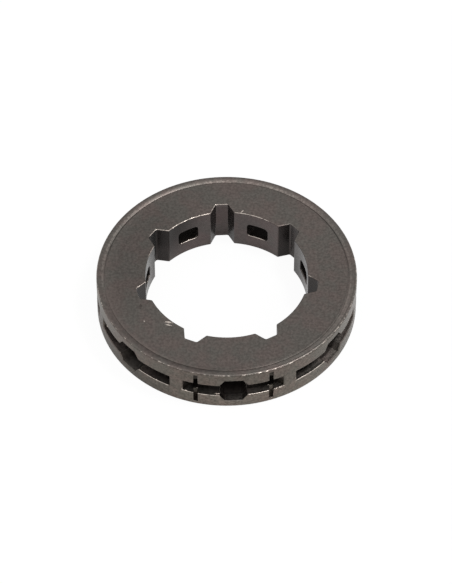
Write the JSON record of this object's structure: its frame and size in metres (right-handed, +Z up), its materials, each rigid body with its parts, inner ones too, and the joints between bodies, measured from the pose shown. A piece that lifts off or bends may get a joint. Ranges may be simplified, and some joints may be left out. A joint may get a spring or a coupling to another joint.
{
  "type": "chainsaw rim sprocket",
  "caption": "Flat steel ring with a splined bore and a slot with a dirt relief round the outside for each chain drive link.",
  "frame": {"origin": "centre of the bore at the bottom face", "axes": "+Z up along the bore's axis; +Y through the middle of a spline groove and its tooth; -Y through the middle of the pocket that has the two wear slits"},
  "size_m": [0.0356, 0.0356, 0.0066],
  "materials": {
    "cast_steel": "dark warm-grey cast and hardened steel, tumbled, dull, with bare edges"
  },
  "bodies": {
    "root": {"rim_sprocket": "cast_steel"}
  },
  "joints": []
}
